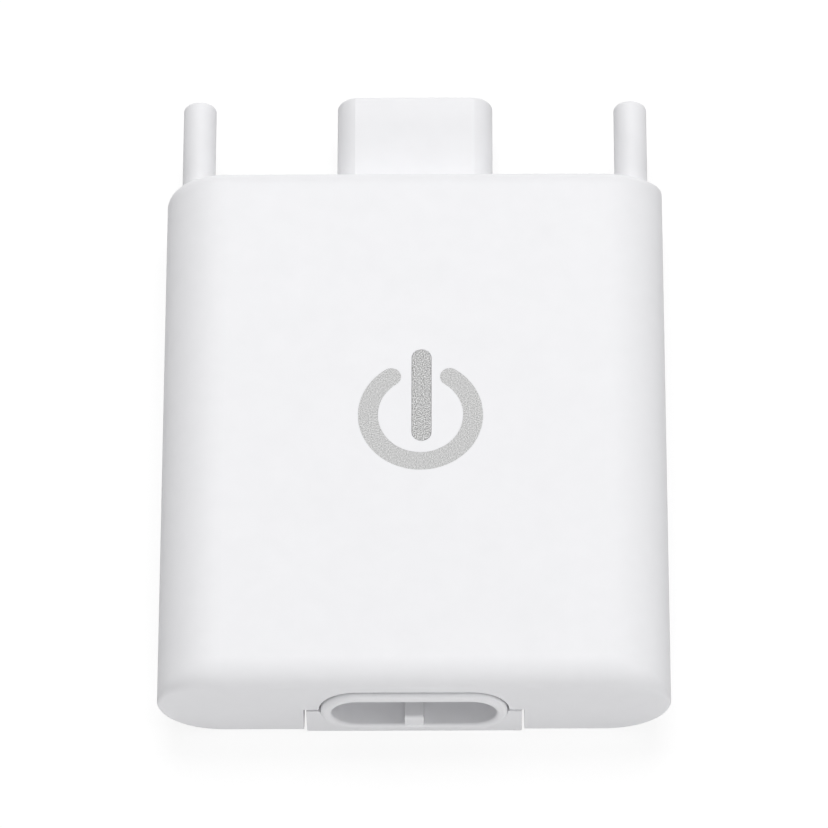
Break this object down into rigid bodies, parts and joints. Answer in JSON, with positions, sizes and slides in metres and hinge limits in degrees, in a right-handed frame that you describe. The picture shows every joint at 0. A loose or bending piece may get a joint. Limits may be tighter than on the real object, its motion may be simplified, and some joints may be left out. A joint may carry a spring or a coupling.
{
  "type": "touch dimmer switch",
  "caption": "Flat white touch dimmer module with a power symbol on its face, a two-pole socket at one end and a plug between locating pins at the other.",
  "frame": {"origin": "middle of the flat back face of the housing, on the back plane, halfway between the two end faces", "axes": "+Z out of the touch face, +Y towards the plug and its locating pins, +X to the right seen from the touch face with the symbol upright"},
  "size_m": [0.045, 0.0624, 0.01],
  "materials": {
    "housing_white": "fine matt white moulding",
    "connector_white": "matt white moulding",
    "symbol_grey": "flat light grey inlay",
    "guide_grey": "grainy translucent grey",
    "contact_tin": "tin plated",
    "contact_brass": "drawn, bright",
    "copper_foil": "thin rolled foil",
    "board_green": "green solder resist",
    "lamp_white": "white package with a clear window",
    "package_black": "black moulding compound",
    "can_aluminium": "bright can",
    "ceramic_tan": "sintered",
    "resistor_black": "glazed film"
  },
  "bodies": {
    "root": {"front_shell": "housing_white", "back_cover": "housing_white", "socket_body": "connector_white", "plug_body": "connector_white", "ring_inlay": "symbol_grey", "light_guide": "guide_grey", "socket_contact_left": "contact_tin", "socket_contact_right": "contact_tin", "plug_contact_left": "contact_brass", "plug_contact_right": "contact_brass", "touch_electrode": "copper_foil", "electrode_spring": "contact_brass", "circuit_board": "board_green", "indicator_led": "lamp_white", "touch_controller": "package_black", "power_transistor": "package_black", "voltage_regulator": "package_black", "reverse_diode": "package_black", "filter_capacitor": "can_aluminium", "input_capacitor": "ceramic_tan", "sensor_capacitor": "ceramic_tan", "lamp_resistor": "resistor_black", "gate_resistor": "resistor_black", "sensor_resistor": "resistor_black"}
  },
  "joints": []
}
